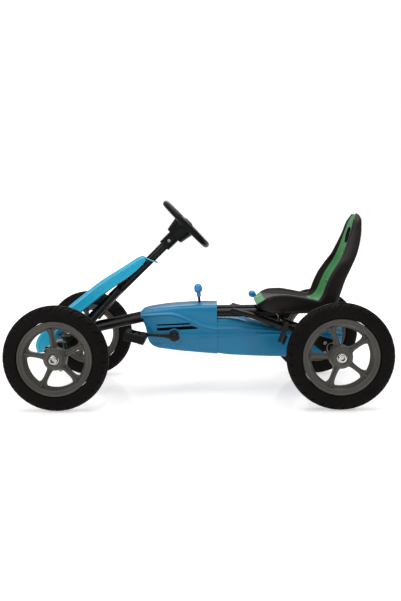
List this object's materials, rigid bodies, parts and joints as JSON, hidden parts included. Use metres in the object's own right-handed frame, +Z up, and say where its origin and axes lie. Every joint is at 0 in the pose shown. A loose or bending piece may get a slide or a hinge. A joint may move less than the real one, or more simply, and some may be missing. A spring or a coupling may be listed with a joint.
{
  "type": "pedal go-kart",
  "caption": "Child's pedal go-kart: steel tube frame, blue shells, bucket seat, chain drive, steered front wheels on pneumatic-style tyres.",
  "frame": {"origin": "on the ground under the middle of the kart, at the centre of the bounding box's base", "axes": "+X points to the rear, +Y to the driver's right, +Z up"},
  "size_m": [1.113, 0.61, 0.6082],
  "materials": {
    "frame_paint": "gloss black powder coat",
    "body_blue": "gloss blue moulded plastic",
    "nose_blue": "gloss cyan-blue moulded plastic",
    "tyre_rubber": "matt black tyre rubber",
    "rim_plastic": "satin grey moulded nylon",
    "dark_plastic": "fine-grained black plastic",
    "seat_plastic": "satin blow-moulded plastic, dark shell with a green inside",
    "bare_steel": "zinc-plated steel",
    "chrome": "bright chrome",
    "pad_rubber": "matt rubber block"
  },
  "bodies": {
    "chassis": {"frame_rail_left": "frame_paint", "frame_rail_right": "frame_paint", "crank_hanger_left": "frame_paint", "crank_hanger_right": "frame_paint", "crank_bearing_left": "bare_steel", "crank_bearing_right": "bare_steel", "rear_stay_left": "frame_paint", "rear_stay_right": "frame_paint", "axle_bearing_left": "bare_steel", "axle_bearing_right": "bare_steel", "frame_cross_tube": "frame_paint", "front_beam": "frame_paint", "kingpin_left": "bare_steel", "kingpin_right": "bare_steel", "column_tube": "frame_paint", "column_collar": "dark_plastic", "column_bush": "dark_plastic", "column_leg_left": "frame_paint", "column_leg_right": "frame_paint", "front_shell_left": "body_blue", "front_shell_right": "body_blue", "rear_shell_left": "body_blue", "rear_shell_right": "body_blue", "nose_panel": "nose_blue", "chain": "bare_steel"},
    "steering": {"steering_shaft": "frame_paint", "steering_wheel": "dark_plastic"},
    "knuckle_left": {"steering_knuckle_left": "frame_paint", "axle_nut_front_left": "chrome"},
    "knuckle_right": {"steering_knuckle_right": "frame_paint", "axle_nut_front_right": "chrome"},
    "rod_left": {"tie_rod_left": "frame_paint"},
    "rod_right": {"tie_rod_right": "frame_paint"},
    "wheel_front_left": {"tyre_front_left": "tyre_rubber", "rim_front_left": "rim_plastic"},
    "wheel_front_right": {"tyre_front_right": "tyre_rubber", "rim_front_right": "rim_plastic"},
    "rear_drive": {"rear_axle": "bare_steel", "rear_sprocket": "bare_steel", "axle_nut_rear_left": "chrome", "axle_nut_rear_right": "chrome", "tyre_rear_right": "tyre_rubber", "rim_rear_right": "rim_plastic"},
    "wheel_rear_left": {"tyre_rear_left": "tyre_rubber", "rim_rear_left": "rim_plastic"},
    "crankset": {"crank_axle": "bare_steel", "chainwheel": "bare_steel", "crank_arm_left": "frame_paint", "crank_arm_right": "frame_paint"},
    "pedal_left": {"pedal_left": "dark_plastic"},
    "pedal_right": {"pedal_right": "dark_plastic"},
    "shift": {"shift_lever": "frame_paint", "shift_grip": "body_blue"},
    "brake": {"brake_shaft": "frame_paint", "brake_grip": "body_blue", "brake_pad_left": "pad_rubber", "brake_pad_right": "pad_rubber"},
    "seat": {"seat": "seat_plastic", "seat_bracket": "frame_paint", "seat_clamp_knob": "dark_plastic"}
  },
  "joints": [
    {"name": "steer", "type": "hinge", "parent": "chassis", "child": "steering", "pos_m": [-0.038, 0, 0.533], "axis": [0.7254, 0, 0.6884], "range_deg": [-45, 45]},
    {"name": "knuckle_left_turn", "type": "hinge", "parent": "chassis", "child": "knuckle_left", "pos_m": [-0.404, -0.205, 0.1525], "axis": [0, 0, 1], "range_deg": [-28, 28]},
    {"name": "knuckle_right_turn", "type": "hinge", "parent": "chassis", "child": "knuckle_right", "pos_m": [-0.404, 0.205, 0.1525], "axis": [0, 0, 1], "range_deg": [-28, 28]},
    {"name": "rod_left_turn", "type": "hinge", "parent": "knuckle_left", "child": "rod_left", "pos_m": [-0.446, -0.198, 0.1692], "axis": [0, 0, 1], "range_deg": [-28, 28]},
    {"name": "rod_right_turn", "type": "hinge", "parent": "knuckle_right", "child": "rod_right", "pos_m": [-0.446, 0.198, 0.1692], "axis": [0, 0, 1], "range_deg": [-28, 28]},
    {"name": "wheel_front_left_spin", "type": "hinge", "parent": "knuckle_left", "child": "wheel_front_left", "pos_m": [-0.404, -0.26, 0.1525], "axis": [0, 1, 0], "continuous": true},
    {"name": "wheel_front_right_spin", "type": "hinge", "parent": "knuckle_right", "child": "wheel_front_right", "pos_m": [-0.404, 0.26, 0.1525], "axis": [0, 1, 0], "continuous": true},
    {"name": "rear_axle_spin", "type": "hinge", "parent": "chassis", "child": "rear_drive", "pos_m": [0.404, 0, 0.1525], "axis": [0, 1, 0], "continuous": true},
    {"name": "wheel_rear_left_spin", "type": "hinge", "parent": "rear_drive", "child": "wheel_rear_left", "pos_m": [0.404, -0.265, 0.1525], "axis": [0, 1, 0], "continuous": true},
    {"name": "crank_spin", "type": "hinge", "parent": "chassis", "child": "crankset", "pos_m": [-0.076, 0, 0.1885], "axis": [0, 1, 0], "continuous": true},
    {"name": "pedal_left_spin", "type": "hinge", "parent": "crankset", "child": "pedal_left", "pos_m": [-0.18873, -0.145, 0.19638], "axis": [0, 1, 0], "continuous": true},
    {"name": "pedal_right_spin", "type": "hinge", "parent": "crankset", "child": "pedal_right", "pos_m": [0.03673, 0.145, 0.18062], "axis": [0, 1, 0], "continuous": true},
    {"name": "shift_tilt", "type": "hinge", "parent": "chassis", "child": "shift", "pos_m": [0.003, 0, 0.262], "axis": [0, 1, 0], "range_deg": [-8, 16]},
    {"name": "brake_pull", "type": "hinge", "parent": "chassis", "child": "brake", "pos_m": [0.254, 0, 0.241], "axis": [0, 1, 0], "range_deg": [-6.5, 0], "stiffness_Nm_per_rad": 2, "springref_deg": 5.73},
    {"name": "seat_slide", "type": "slide", "parent": "chassis", "child": "seat", "axis": [1, 0, 0], "range_m": [-0.03, 0.03]}
  ],
  "couplings": [
    {"joint": "knuckle_left_turn", "follows": "steer", "ratio": 0.62},
    {"joint": "knuckle_right_turn", "follows": "steer", "ratio": 0.62},
    {"joint": "rod_left_turn", "follows": "steer", "ratio": -0.62},
    {"joint": "rod_right_turn", "follows": "steer", "ratio": -0.62},
    {"joint": "crank_spin", "follows": "rear_axle_spin", "ratio": 0.75}
  ]
}
